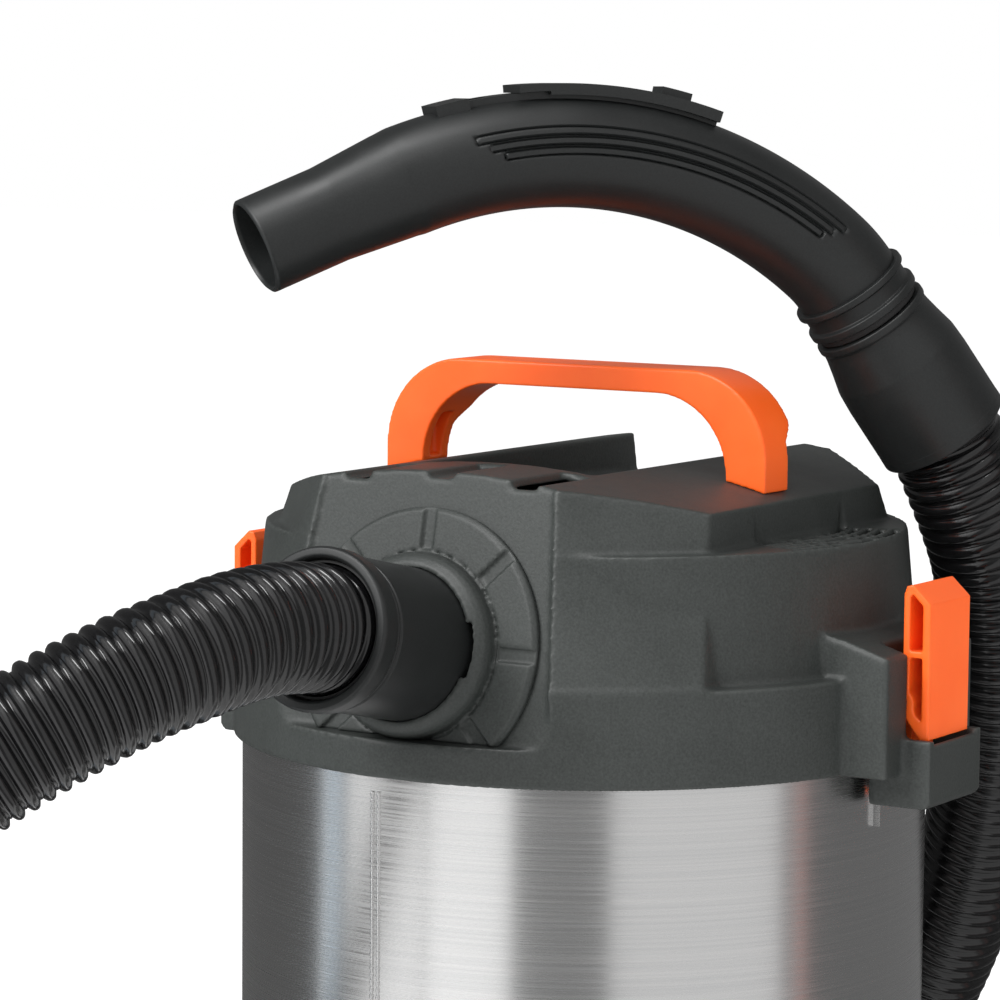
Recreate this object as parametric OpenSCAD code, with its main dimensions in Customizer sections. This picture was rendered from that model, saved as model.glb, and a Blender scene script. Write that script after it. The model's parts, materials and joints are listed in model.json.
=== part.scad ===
// Shop vacuum: steel tank on casters, lift-off motor head with carry handle and
// side latches, corrugated hose and curved wand. Millimetres, +Z up, front is -Y.
// The origin is on the floor under the tank's axis.

/* [Tank] */
// Outer radius of the steel tank
tank_r = 128.6; // [120:0.2:128.8]
// Wall of the steel tank
tank_wall = 1; // [0.8:0.1:2]
// Height of the tank's floor above the ground
tank_z = 46; // [46:1:60]
// Height of the tank's upper edge above the ground
tank_top = 291; // [286:1:291]

/* [Head] */
// Height of the skirt's lower edge above the ground
rim_z = 283; // [283:1:285]
// Outer radius of the skirt
skirt_r = 132; // [131:0.5:134]
// Height of the skirt
skirt_h = 34.5; // [30:0.5:38]
// Radius of the cowl where it meets the skirt
cowl_low_r = 125; // [123:0.5:127]
// Radius of the cowl at the vent deck
cowl_top_r = 120; // [117:0.5:122]
// Height of the vent deck above the ground
deck_z = 363; // [361:1:366]
// Height of the crown above the ground
crown_z = 389; // [387:1:392]
// Radius of the crown's cross curve
crown_r = 320; // [300:5:340]
// Wall of the plastic housing
wall = 3; // [2.4:0.2:3.4]
// Backward tilt of the port panels in degrees
panel_tilt = 12; // [8:1:14]
// Height of the port centres above the ground
port_z = 328; // [326:1:330]
// Distance from the axis to the port centres
port_y = 114; // [113:0.5:116]

/* [Handle] */
// Overall width of the carry handle
handle_w = 164; // [156:1:168]
// Height of the carry handle's top above the ground
handle_top = 422; // [418:1:430]
// Depth of the carry handle's grip
handle_d = 24; // [20:1:28]

/* [Latches] */
// Half the width of a latch lever
lever_hw = 16.3; // [14:0.1:16.5]
// Distance from the axis to a latch pin
pin_x = 139.5; // [139:0.1:140]
// Height of a latch pin above the ground
pin_z = 308; // [306:1:310]
// Radius of a latch pin
pin_r = 2.5; // [2:0.1:2.8]

/* [Casters] */
// Radius of a caster wheel
wheel_r = 16; // [14:0.5:16]
// Width of a caster wheel
wheel_w = 14; // [10:1:14]
// Distance from the axis to a caster's swivel
swivel_r = 108; // [100:1:112]
// Trail of a caster wheel behind its swivel
trail = 14; // [10:1:16]

/* [Hose and wand] */
// Outer diameter of the hose
hose_d = 45; // [44:0.5:45]
// Outer diameter of the wand's grip
wand_d = 40; // [38:0.5:40]
// Outer diameter of the wand's open tip
tip_d = 35; // [34:0.5:36]
// Radius of the grip's main curve
grip_r = 165; // [160:1:170]
// Turn of the wand about the vertical in degrees
wand_turn = 52; // [50:1:54]

/* [Hidden] */

$fn = 96;
// Reach of the tools that cut right through a part
far = 400;
// Corner angles of the four casters, front left first
caster_turn = [225, 315, 135, 45];
// Angles of the screws that close the head
head_screw_turn = [28, 152, 208, 332];
head_screw_r = 115;
// Underside of the base and the gap above a caster fork
base_z = 40;
boss_z = 36.5;
fork_z = 33;
stem_r = 4;
// Inner face of the latch pocket and the latch boss's outer face
pocket_x = 133;
boss_x = 143.5;
nose_x = 154;
pocket_hw = 17.6;
nose_z = 271.5;
// Level of the motor plate's lower face
plate_z = 294;
plate_t = 4;
// Flats of the motor plate and the level of the ledges beyond them, below the port panels
plate_flat = 117.6;
ledge_z = 297;
// Intake pipe, down from the rear port into the tank
duct_y = 84.2;
duct_r = 22;
// Port radii
collar_r = 33;
port_bore_r = 27.1;
neck_or = 29.1;
neck_in = -7;
flange_r = 49.5;
flange_t = 3.4;
collar_h = 12;
// Cuff lengths along the port axis, from the panel
cuff_in = -9;
cuff_out = 66;
socket_s = 51;
// Valley behind the front crown
valley_hw = 38;
// Switch place
switch_y = 62;
switch_z = 371.5;
// Wand frame: where its plane stands, and the crest of the grip
wand_x = 20;
wand_y = -34;
crest_u = -12;
crest_z = 501;
// Sweep angles of the grip's curves, from the crest, and the second curve's radius
tip_sweep = 22.6;
grip_sweep = 40;
end_sweep = 54;
end_r = 55;
tip_len = 55;
bore_wall = 2;
// Length of the round end that takes an accessory
tip_straight = 30;
// Distances above the grip's middle at which its side ribs run
rib_levels = [-1.2, 2.2, 5.6];
// Stations along the straight end of the wand
wand_end_s = 12;
wand_cuff_s = 15;
wand_cuff_end_s = 70;
wand_socket_s = 52;
wand_cuff_r = 25.5;
// Radius of the grip's bore on the hose cuff, and of the cuff's neck in it
swivel_bore = 18.07;
neck_r = 18;
hose_wall = 1.6;
hose_sides = 12;
hose_steps = 2;

// Centres of the wand's two curves in its own plane
grip_c = [crest_u, crest_z - grip_r];
end_c = grip_c + (grip_r - end_r) * [sin(grip_sweep), cos(grip_sweep)];
wand_end = end_c + end_r * [sin(end_sweep), cos(end_sweep)];
tip_start = grip_c + grip_r * [-sin(tip_sweep), cos(tip_sweep)];

// A point on the front port's axis at distance s out of the panel
function port_point(s) = [0, -port_y - s * cos(panel_tilt), port_z + s * sin(panel_tilt)];
// A point at (u, w) of the wand's plane
function wand_point(u, w) = [wand_x + u * cos(wand_turn), wand_y + u * sin(wand_turn), w];
// A point on the axis of the wand's straight end at distance s
function wand_axis(s) =
    wand_point(wand_end.x + s * cos(end_sweep), wand_end.y - s * sin(end_sweep));

// The hose's route from the port cuff, round the left and the back, to the wand
hose_route = concat(
    [port_point(socket_s), port_point(socket_s + 9), port_point(socket_s + 18)],
    [[-1, -200, 344], [-5, -219, 342.5], [-11, -238, 338], [-21, -257, 331], [-37, -280, 318],
    [-59, -302, 299], [-88, -321, 272], [-121, -330, 243], [-156, -330, 212],
    [-190, -320, 180], [-222, -300, 149], [-250, -269, 119], [-270, -230, 92],
    [-283, -187, 68], [-288, -141, 48], [-288, -94, 34], [-285, -46, 25.5], [-279, 2, 22.5],
    [-268, 50, 22.5], [-249, 96, 22.5], [-220, 137, 22.5], [-182, 168, 22.5],
    [-140, 189, 25], [-96, 203, 36], [-54, 208, 55], [-15, 206, 81], [20, 200, 113],
    [49, 190, 149], [71, 177, 187], [88, 162, 226], [102, 145, 264], [111, 128, 302],
    [115.5, 111, 338], [116, 97, 361]],
    [wand_axis(wand_socket_s + 18), wand_axis(wand_socket_s + 9), wand_axis(wand_socket_s)]);

// Depth of a side rib that stands 0.9 out of the grip at level off
function rib_out(off) = sqrt(wand_d * wand_d / 4 - off * off) + 0.9 - 16.5;

// A point of a smooth curve through p at parameter t between p[i] and p[i + 1]
function clamped(p, i) = p[min(max(i, 0), len(p) - 1)];
function curve_point(p, i, t) =
    let (a = clamped(p, i - 1), b = p[i], c = clamped(p, i + 1), d = clamped(p, i + 2))
    0.5 * (2 * b + (c - a) * t + (2 * a - 5 * b + 4 * c - d) * t * t
        + (3 * b - a - 3 * c + d) * t * t * t);
function smooth_route(p, steps) = concat(
    [for (i = [0:len(p) - 2]) for (k = [0:steps - 1]) curve_point(p, i, k / steps)],
    [p[len(p) - 1]]);
function unit(v) = v / norm(v);
function tangent(p, i) = unit(clamped(p, i + 1) - clamped(p, i - 1));
// A frame carried along the route without twist: each normal is the last one, made square
function square_to(v, t) = unit(v - (v * t) * t);
function normals(p, i, last) = i >= len(p) ? [] :
    let (n = square_to(last, tangent(p, i))) concat([n], normals(p, i + 1, n));
function ring_points(c, n, t, r, sides) =
    [for (k = [0:sides - 1]) let (a = 360 * k / sides)
        c + r * (cos(a) * n + sin(a) * cross(t, n))];

// A pipe of the given outer and inner radius swept along p
module pipe_along(p, outer, inner, sides) {
    n = normals(p, 0, [1, 0, 0]);
    rings = len(p);
    wall_points = [for (r = [outer, inner]) for (i = [0:rings - 1])
        each ring_points(p[i], n[i], tangent(p, i), r, sides)];
    shift = rings * sides;
    skin = [for (i = [0:rings - 2]) for (k = [0:sides - 1])
        let (a = i * sides + k, b = i * sides + (k + 1) % sides)
        each [[a, a + sides, b + sides], [a, b + sides, b]]];
    bore = [for (f = skin) [f[0] + shift, f[2] + shift, f[1] + shift]];
    last = (rings - 1) * sides;
    ends = [for (k = [0:sides - 1]) let (a = k, b = (k + 1) % sides)
        each [[a, b, b + shift], [a, b + shift, a + shift],
            [last + b, last + a, last + a + shift],
            [last + b, last + a + shift, last + b + shift]]];
    polyhedron(points = wall_points, faces = concat(skin, bore, ends), convexity = 10);
}

// A solid rod of radius r swept along p
module rod_along(p, r, sides) {
    n = normals(p, 0, [0.2, 1, 0.1]);
    rings = len(p);
    points = [for (i = [0:rings - 1]) each ring_points(p[i], n[i], tangent(p, i), r, sides)];
    last = (rings - 1) * sides;
    skin = [for (i = [0:rings - 2]) for (k = [0:sides - 1])
        let (a = i * sides + k, b = i * sides + (k + 1) % sides)
        each [[a, a + sides, b + sides], [a, b + sides, b]]];
    ends = [for (k = [1:sides - 2]) each [[0, k, k + 1], [last, last + k + 1, last + k]]];
    polyhedron(points = points, faces = concat(skin, ends), convexity = 10);
}

// Puts its children on a port's axis, with +Z out of the panel
module at_port(back = false) {
    rotate([0, 0, back ? 180 : 0])
        translate([0, -port_y, port_z])
            rotate([90 - panel_tilt, 0, 0]) children();
}

module for_sides() {
    children();
    mirror([1, 0, 0]) children();
}

module ring(outer, inner, h) {
    difference() {
        cylinder(r = outer, h = h);
        translate([0, 0, -1]) cylinder(r = inner, h = h + 2);
    }
}

// ---- tank and base ----

module tank_shell() {
    color("silver") rotate_extrude($fn = 180) polygon([
        [tank_r - tank_wall, tank_z + 4], [tank_r, tank_z + 4], [tank_r, tank_top],
        [tank_r - 4, tank_top], [tank_r - 4, tank_top - 1],
        [tank_r - tank_wall, tank_top - 1]]);
}

// Dished steel bottom, welded inside the foot of the wall
module tank_floor() {
    color("silver") rotate_extrude($fn = 180) polygon([
        [0, tank_z], [tank_r - 4, tank_z], [tank_r, tank_z + 4],
        [tank_r - tank_wall - 0.2, tank_z + 4], [tank_r - 4.5, tank_z + tank_wall],
        [0, tank_z + tank_wall]]);
}

// Steel plates on the tank's sides that the latch hooks catch
module latch_catches() {
    color("gainsboro") for_sides() difference() {
        union() {
            translate([tank_r - 3, -12, 262]) cube([5, 24, 16.5]);
            translate([tank_r - 3, -12, 275.5]) cube([136 - tank_r + 3, 24, 3]);
        }
        cylinder(r = tank_r, h = far, $fn = 720);
    }
}

module base_ring() {
    color("dimgray") difference() {
        union() {
            translate([0, 0, base_z]) cylinder(r = 137, h = 22);
            for (a = caster_turn) rotate([0, 0, a]) translate([swivel_r, 0, boss_z])
                cylinder(r = 17, h = 8);
        }
        translate([0, 0, tank_z]) cylinder(r = 129, h = far);
        translate([0, 0, base_z - 1]) cylinder(r = 70, h = 4);
        for (a = caster_turn) rotate([0, 0, a]) {
            translate([swivel_r, 0, boss_z - 1]) cylinder(r = stem_r, h = 10);
            translate([swivel_r - 30, 0, base_z - 1]) cylinder(r = 2.1, h = 10);
        }
    }
}

module base_screws() {
    color("gray") for (a = caster_turn) rotate([0, 0, a])
        translate([swivel_r - 30, 0, base_z - 2.5]) {
            cylinder(r = 4.5, h = 2.5);
            cylinder(r = 2, h = 8.4);
        }
}

module at_caster(i) {
    rotate([0, 0, caster_turn[i]]) translate([swivel_r, 0, 0]) children();
}

module caster_fork(i) {
    color("dimgray") at_caster(i) difference() {
        union() {
            translate([0, 0, fork_z]) cylinder(r = 13, h = 3);
            translate([0, -10, fork_z]) cube([trail + 3, 20, 3]);
            for (s = [-1, 1]) translate([0, s * 8.9 - 1.3, 0]) hull() {
                translate([2, 0, fork_z]) cube([trail + 1, 2.6, 3]);
                translate([trail, 0, wheel_r]) rotate([-90, 0, 0])
                    cylinder(r = 5, h = 2.6, $fn = 32);
            }
            translate([0, 0, fork_z + 2]) cylinder(r = stem_r - 0.06, h = 9.3);
        }
        translate([trail, 0, wheel_r]) rotate([90, 0, 0])
            cylinder(r = 2.4, h = 40, center = true);
    }
}

module caster_axle(i) {
    color("silver") at_caster(i) translate([trail, 0, wheel_r]) rotate([90, 0, 0]) {
        cylinder(r = 2.4, h = 20.4, center = true);
        for (s = [0, 1]) mirror([0, 0, s]) translate([0, 0, 10.2]) cylinder(r = 3.4, h = 0.9);
    }
}

module caster_wheel(i) {
    r = wheel_r;
    w = wheel_w / 2;
    color("black") at_caster(i) translate([trail, 0, wheel_r]) rotate([90, 0, 0])
        rotate_extrude() polygon([[2.46, -w], [6, -w], [6, -w + 2], [r - 4, -w + 2],
            [r - 4, -w], [r - 1.5, -w], [r, -w + 1.5], [r, w - 1.5], [r - 1.5, w],
            [r - 4, w], [r - 4, w - 2], [6, w - 2], [6, w], [2.46, w]]);
}

// ---- head ----

// Foot of the block: two arcs of radius r, front and back, joined by straight sides
function block_foot(r) = [for (start = [-139, 41]) for (k = [0:24])
    let (a = start + k * 98 / 24) r * [cos(a), sin(a)]];

// Half-space in front of a port panel, moved inwards by t, between the panel's side lines
module panel_cut(t) {
    low = 58 + t;
    high = 48 + t;
    multmatrix([[1, 0, 0, 0], [0, 1, tan(panel_tilt), -port_y - tan(panel_tilt) * port_z + t],
        [0, 0, 1, 0]])
        rotate([90, 0, 0]) linear_extrude(height = 60)
            polygon([[-low, ledge_z - t], [low, ledge_z - t], [high, crown_z],
                [high, crown_z + 20], [-high, crown_z + 20], [-high, crown_z]]);
}

// The head's raised block, inset by t
module block(t) {
    intersection() {
        hull() {
            translate([0, 0, rim_z + 5]) linear_extrude(height = skirt_h - 5)
                polygon(block_foot(skirt_r - 0.7 - t));
            translate([0, 0, crown_z - 1 - t]) linear_extrude(height = 1)
                polygon([[-47 + t, -103 + t], [47 - t, -103 + t], [87 - t, -61 + t], [87 - t, 61 - t],
                    [47 - t, 103 - t], [-47 + t, 103 - t], [-87 + t, 61 - t], [-87 + t, -61 + t]]);
        }
        translate([0, 200, crown_z - crown_r - t]) rotate([90, 0, 0])
            cylinder(r = crown_r, h = far);
    }
}

// The head's outer form without latch bosses, inset by t
module head_form(t) {
    difference() {
        union() {
            translate([0, 0, rim_z]) cylinder(r = skirt_r - t, h = skirt_h - t, $fn = 180);
            translate([0, 0, rim_z + skirt_h - 6])
                cylinder(r1 = cowl_low_r - t, r2 = cowl_top_r - t,
                    h = deck_z - rim_z - skirt_h + 6 - t, $fn = 180);
            block(t);
        }
        for (a = [0, 180]) rotate([0, 0, a]) panel_cut(t);
    }
}

// Open trough between the shoulders, behind the front crown
module valley(t) {
    translate([0, -60 - t, 377 - t]) rotate([-2.4, 0, 0])
        translate([-valley_hw - t, 0, 0]) cube([2 * (valley_hw + t), 190, 40]);
}

// Disc with its front and back cut flat where the ledges pass, wider by gap
module plate_form(r, h, gap) {
    intersection() {
        cylinder(r = r, h = h);
        translate([-200, -plate_flat - gap, 0]) cube([400, 2 * (plate_flat + gap), h]);
    }
}

// Outline of a latch boss and its nose, seen along Y
module boss_outline(low, high) {
    rotate([90, 0, 0]) translate([0, 0, -low]) linear_extrude(height = 2 * low) polygon(high);
}

module latch_boss() {
    boss_outline(35, [[118, rim_z], [boss_x, rim_z], [boss_x, 326], [126, 331.5], [118, 333]]);
    boss_outline(21.3, [[118, 296], [nose_x, 296], [nose_x, nose_z + 2], [nose_x - 2, nose_z],
        [130, nose_z], [130, rim_z], [118, rim_z]]);
}

module latch_pocket() {
    translate([pocket_x, -pocket_hw, nose_z - 5])
        cube([nose_x - 2.6 - pocket_x, 2 * pocket_hw, 60]);
    translate([pocket_x, -pocket_hw, 294.5]) cube([60, 2 * pocket_hw, 60]);
    translate([120, -13.5, nose_z - 5]) cube([20, 27, 17]);
    translate([pin_x, 0, pin_z]) rotate([90, 0, 0]) cylinder(r = pin_r, h = 53, center = true);
}

// Curved vent slots in the deck beside the block
module vent_slots() {
    for (i = [0:4]) translate([0, 0, deck_z - 10])
        rotate([0, 0, -21]) rotate_extrude(angle = 42)
            translate([95.5 + 5 * i, 0]) square([2.4, 20]);
}

module upper_housing() {
    color("dimgray") difference() {
        union() {
            difference() {
                head_form(0);
                difference() {
                    head_form(wall);
                    valley(wall);
                }
                translate([0, 0, rim_z - 1]) cylinder(r = 129.4, h = plate_z - rim_z + 1);
                translate([0, 0, rim_z - 1]) plate_form(129.4, 16, 0.2);
            }
            difference() {
                for_sides() latch_boss();
                translate([0, 0, rim_z - 20]) cylinder(r = 129.4, h = 36, $fn = 180);
                translate([0, 0, rim_z]) cylinder(r = 121, h = 60, $fn = 180);
            }
            intersection() {
                head_form(1);
                for (a = head_screw_turn) rotate([0, 0, a])
                    translate([head_screw_r, 0, plate_z + plate_t]) cylinder(r = 8, h = 42);
            }
        }
        valley(0);
        for (b = [false, true]) at_port(b)
            translate([0, 0, -12]) cylinder(r = neck_or + 0.1, h = 30);
        for_sides() {
            latch_pocket();
            vent_slots();
            for (y = [-8, 2]) translate([74, y, 370]) cylinder(r = 1.8, h = 20);
        }
        for (a = head_screw_turn) rotate([0, 0, a])
            translate([head_screw_r, 0, plate_z]) cylinder(r = 1.9, h = 20);
        for (x = [-35, 0, 35]) translate([x, 0, crown_z - 2.6 - x * x / 640])
            rotate([90, 0, 0]) translate([0, 0, 66]) linear_extrude(height = 60)
                polygon([[-5, 0], [5, 0], [9, 12], [-9, 12]]);
        translate([-10, switch_y - 7, 360]) cube([20, 14, 20]);
        translate([-75, 100, 306]) rotate([-90, 0, 0]) cylinder(r = 5, h = 30);
    }
}

module motor_base() {
    color("dimgray") difference() {
        union() {
            translate([0, 0, plate_z]) plate_form(128.6, plate_t, 0);
            translate([0, 0, plate_z - 12]) cylinder(r = 56, h = 14);
        }
        translate([0, 0, plate_z - 13]) cylinder(r = 53, h = 13);
        cylinder(r = 17, h = far);
        translate([0, duct_y, plate_z - 1]) cylinder(r = duct_r + 0.1, h = 10);
        for (a = head_screw_turn) rotate([0, 0, a])
            translate([head_screw_r, 0, plate_z - 1]) cylinder(r = 2.1, h = 10);
    }
}

module housing_screws() {
    color("gray") for (a = head_screw_turn) rotate([0, 0, a])
        translate([head_screw_r, 0, plate_z - 2.4]) {
            cylinder(r = 4.2, h = 2.4);
            cylinder(r = 1.9, h = 18);
        }
}

module tank_seal() {
    color("black") translate([0, 0, tank_top]) ring(128.4, 121, plate_z - tank_top);
}

// Side outline of the carry handle's bar: straight top, round shoulders
module handle_outline(w, top, corner) {
    hull() {
        for (s = [-1, 1]) translate([s * (w / 2 - corner), top - corner]) circle(r = corner);
        translate([-w / 2, 360]) square([w, 1]);
    }
}

module carry_handle() {
    d = handle_d / 2;
    color("orangered") difference() {
        rotate([90, 0, 0]) translate([0, 0, -d]) linear_extrude(height = 2 * d) difference() {
            handle_outline(handle_w, handle_top, 33);
            handle_outline(handle_w - 33, handle_top - 9, 30);
        }
        translate([0, 200, crown_z - crown_r]) rotate([90, 0, 0])
            cylinder(r = crown_r, h = far, $fn = 256);
        for_sides() {
            translate([58, 6, 360]) cube([40, 20, 36]);
            translate([54, 6, 396]) rotate([-45, 0, 0]) cube([40, 20, 20]);
            for (y = [-8, 2]) translate([74, y, 370]) cylinder(r = 1.8, h = 24);
            translate([60, -7, 384]) cube([9, 8, 17]);
        }
    }
}

module handle_screws() {
    color("gray") for_sides() for (y = [-8, 2]) translate([74, y, 373]) {
        cylinder(r = 3.4, h = 3.4);
        cylinder(r = 1.8, h = 20);
    }
}

// A hose port: flange with eight channels, domed collar with a bayonet slot, neck. Its foot
// is cut level where it stands on the ledge below the panel.
module port(back) {
    c = collar_r;
    color("dimgray") difference() {
        at_port(back) difference() {
            rotate_extrude() polygon([[port_bore_r, neck_in], [neck_or, neck_in], [neck_or, 0.02],
                [flange_r, 0.02], [flange_r, flange_t - 1.5], [flange_r - 1.5, flange_t],
                [c, flange_t], [c, 6.5], [c - 0.7, 8.8], [c - 2.2, 10.8],
                [c - 4.2, collar_h], [port_bore_r, collar_h]]);
            for (a = [0:45:315]) rotate([0, 0, a])
                translate([c + 1.2, -2.6, flange_t - 1.4]) cube([30, 5.2, 4]);
            translate([0, 0, flange_t - 1.2]) ring(c + 1.2, c, 4);
            for (a = [-20, 160]) rotate([0, 0, a]) translate([0, 0, collar_h - 4])
                rotate_extrude(angle = 40) translate([port_bore_r - 1, 0]) square([3, 9]);
        }
        translate([-80, -200, ledge_z + 0.05 - 80]) cube([160, 400, 80]);
    }
}

module blow_duct() {
    color("dimgray") difference() {
        at_port() translate([0, 0, -62]) cylinder(r = 26, h = 51);
        at_port() translate([0, 0, -63]) cylinder(r = 23, h = 60);
        translate([0, 0, plate_z - 20]) cylinder(r = 130, h = plate_t + 20);
        translate([0, 0, 290]) cylinder(r = 62.2, h = 50);
        cylinder(r = 49.2, h = far);
    }
}

module suction_duct() {
    color("dimgray") difference() {
        union() {
            at_port(true) translate([0, 0, -34]) cylinder(r = 26, h = 23);
            translate([0, duct_y, 262]) cylinder(r = duct_r, h = 86);
        }
        at_port(true) translate([0, 0, -31.5]) cylinder(r = 23, h = 40);
        at_port(true) translate([0, 0, cuff_in]) cylinder(r = 32, h = 40);
        translate([0, duct_y, 261]) cylinder(r = duct_r - 2.5, h = 84.5);
    }
}

module cord_gland() {
    color("black") translate([-75, 0, 306]) rotate([-90, 0, 0]) difference() {
        union() {
            translate([0, 0, 100]) cylinder(r = 4.9, h = 14);
            translate([0, 0, 113.8]) cylinder(r1 = 7.5, r2 = 5.5, h = 14);
        }
        translate([0, 0, 90]) cylinder(r = 3.6, h = 50);
    }
}

module switch_frame() {
    color("black") difference() {
        union() {
            translate([-9.9, switch_y - 6.9, 354]) cube([19.8, 13.8, 20]);
            translate([-12.5, switch_y - 9, 372.3]) cube([25, 18, 1.8]);
        }
        translate([-8.8, switch_y - 5.9, 358]) cube([17.6, 11.8, 20]);
        translate([0, switch_y, switch_z]) rotate([0, 90, 0])
            cylinder(r = 1.5, h = 19, center = true);
    }
}

// Rocker, tilted to its off side at rest
module switch_rocker() {
    color("red") translate([0, switch_y, switch_z]) rotate([8, 0, 0]) {
        rotate([90, 0, 90]) translate([0, 0, -8.5]) linear_extrude(height = 17)
            polygon([[-5, -3], [5, -3], [5, 4.4], [0, 3.4], [-5, 4.4]]);
        rotate([0, 90, 0]) cylinder(r = 1.44, h = 18.4, center = true);
    }
}

// ---- latches ----

// Lever on the right: hollow grip frame, hub on the pin, hook arm below
module latch_lever() {
    x1 = 151;
    color("orangered") difference() {
        union() {
            rotate([90, 0, 0]) translate([0, 0, -lever_hw]) linear_extrude(height = 2 * lever_hw)
                difference() {
                    polygon([[141.5, 303], [x1 - 3.4, 295.5], [x1, 295.5], [x1, 344],
                        [144, 350.6], [141.6, 350], [140.5, 347], [140.5, 318]]);
                    polygon([[143, 327], [x1 - 3, 327], [x1 - 3, 343.2], [144, 347.2],
                        [143, 346.2]]);
                    polygon([[145.5, 304], [x1 - 3, 302], [x1 - 3, 324.6], [143, 324.6], [143, 312]]);
                }
            rotate([90, 0, 0]) translate([0, 0, -1.5]) linear_extrude(height = 3)
                polygon([[142, 303], [x1 - 1, 300], [x1 - 1, 343], [142, 347]]);
            translate([pin_x, 0, pin_z]) rotate([90, 0, 0])
                cylinder(r = 5.4, h = 2 * lever_hw, center = true);
            rotate([90, 0, 0]) translate([0, 0, -9]) linear_extrude(height = 18) polygon([
                [137, 304], [137, 275], [132.6, 275], [132.6, 273.6], [135, 272.2],
                [140.6, 272.2], [141.4, 304]]);
        }
        translate([pin_x, 0, pin_z]) rotate([90, 0, 0])
            cylinder(r = pin_r + 0.06, h = 60, center = true);
        translate([pin_x, 0, pin_z]) rotate([90, 0, 0]) cylinder(r = 5.6, h = 7, center = true);
    }
}

module latch_pin() {
    color("silver") translate([pin_x, 0, pin_z]) rotate([90, 0, 0])
        cylinder(r = pin_r, h = 52.8, center = true);
}

// Torsion spring round the pin, one leg in the lever and one towards the pocket's back
module latch_spring() {
    turns = 4.5;
    steps = 54;
    coil_r = 3.6;
    half = 2.6;
    color("silver") translate([pin_x, 0, pin_z]) rod_along(concat(
        [[-coil_r, -half, 11], [-coil_r, -half, 6], [-coil_r, -half, 2]],
        [for (k = [0:steps]) let (a = 180 + 360 * turns * k / steps)
            [coil_r * cos(a), half * (2 * k / steps - 1), coil_r * sin(a)]],
        [[coil_r, half, 2], [coil_r, half, 4]]), 0.4, 8);
}

// ---- motor, fan and filter ----

module fan_casing() {
    color("gainsboro") difference() {
        translate([0, 0, 300]) cylinder(r = 62, h = 27);
        translate([0, 0, 301.5]) cylinder(r = 60, h = 24);
        cylinder(r = 22, h = 310);
        translate([0, 0, 320]) cylinder(r = 6, h = 20);
        at_port() translate([0, 0, -75]) cylinder(r = 12, h = 60);
    }
}

module impeller() {
    color("silver") difference() {
        union() {
            translate([0, 0, 304]) cylinder(r = 55, h = 1.2);
            translate([0, 0, 316]) cylinder(r = 55, h = 1.2);
            translate([0, 0, 305]) cylinder(r = 9, h = 12);
            for (a = [0:45:315]) rotate([0, 0, a]) translate([8, -0.6, 305])
                cube([46, 1.2, 11.5]);
        }
        cylinder(r = 4, h = far);
        translate([0, 0, 303]) ring(21, 10, 2.6);
    }
}

module motor_shaft() {
    color("silver") translate([0, 0, 303]) cylinder(r = 4, h = 57);
}

module cooling_fan() {
    color("black") difference() {
        union() {
            translate([0, 0, 351]) cylinder(r = 30, h = 1.2);
            translate([0, 0, 351]) cylinder(r = 8, h = 6);
            for (a = [0:40:320]) rotate([0, 0, a]) translate([7, -0.6, 352])
                cube([22, 1.2, 5]);
        }
        cylinder(r = 4, h = far);
    }
}

module motor_stator() {
    color("slategray") difference() {
        translate([0, 0, 327]) cylinder(r = 37.5, h = 22);
        translate([0, 0, 320]) cylinder(r = 4.6, h = 40);
    }
}

module motor_cover() {
    color("dimgray") difference() {
        translate([0, 0, 327]) cylinder(r = 49, h = 37);
        translate([0, 0, 326]) cylinder(r = 46.5, h = 36);
        cylinder(r = 14, h = far);
    }
}

module motor_mount_lower() {
    color("black") translate([0, 0, plate_z + plate_t]) ring(61, 40, 2);
}

module motor_mount_upper() {
    color("black") translate([0, 0, 364]) ring(24, 15, 5.6);
}

module brush_holders() {
    color("goldenrod") for_sides() translate([37.5, -5, 333]) cube([8, 10, 9]);
}

module noise_capacitor() {
    color("gold") translate([-96, 8, plate_z + plate_t]) cube([22, 13, 18]);
}

module float_cage() {
    color("dimgray") difference() {
        translate([0, 0, 190]) cylinder(r = 40, h = plate_z - 190);
        translate([0, 0, 193]) cylinder(r = 37, h = 120);
        for (a = [0:30:330]) rotate([0, 0, a]) for (z = [200, 246])
            translate([30, -5, z]) cube([20, 10, 38]);
        for (a = [0:60:300]) rotate([0, 0, a]) translate([24, 0, 180]) cylinder(r = 5, h = 20);
    }
}

module float_ball() {
    color("orange") translate([0, 0, 193.1 + 20]) sphere(r = 20);
}

module filter_sleeve() {
    color("lightsteelblue") translate([0, 0, 192]) ring(50, 40.2, 100);
}

module filter_band() {
    color("black") translate([0, 0, 270]) ring(52, 50, 6);
}

// ---- hose and wand ----

module cuff_sleeve() {
    color("black") at_port() difference() {
        rotate_extrude() polygon([[port_bore_r - 0.08, cuff_in], [port_bore_r - 0.08, cuff_out - 11],
            [28.4, cuff_out - 9], [28.4, cuff_out - 1], [27.6, cuff_out], [24.2, cuff_out],
            [24, socket_s - 0.2], [20, socket_s - 0.2], [20, cuff_in]]);
        rotate([0, 0, -60]) translate([20, -4, 35]) cube([12, 8, 4]);
    }
}

module cuff_insert() {
    color("dimgray") at_port() translate([0, 0, socket_s]) ring(23.95, hose_d / 2 + 0.3, 12);
}

module hose() {
    color("black") pipe_along(smooth_route(hose_route, hose_steps),
        hose_d / 2, hose_d / 2 - hose_wall, hose_sides);
}

// Puts its children in the wand's plane: local X across, Z up
module at_wand() {
    translate([wand_x, wand_y, 0]) rotate([0, 0, wand_turn]) children();
}

// Puts its children on the wand's straight end, with +Z towards the hose
module at_wand_end() {
    at_wand() translate([wand_end.x, 0, wand_end.y]) rotate([0, 90 + end_sweep, 0]) children();
}

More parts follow.
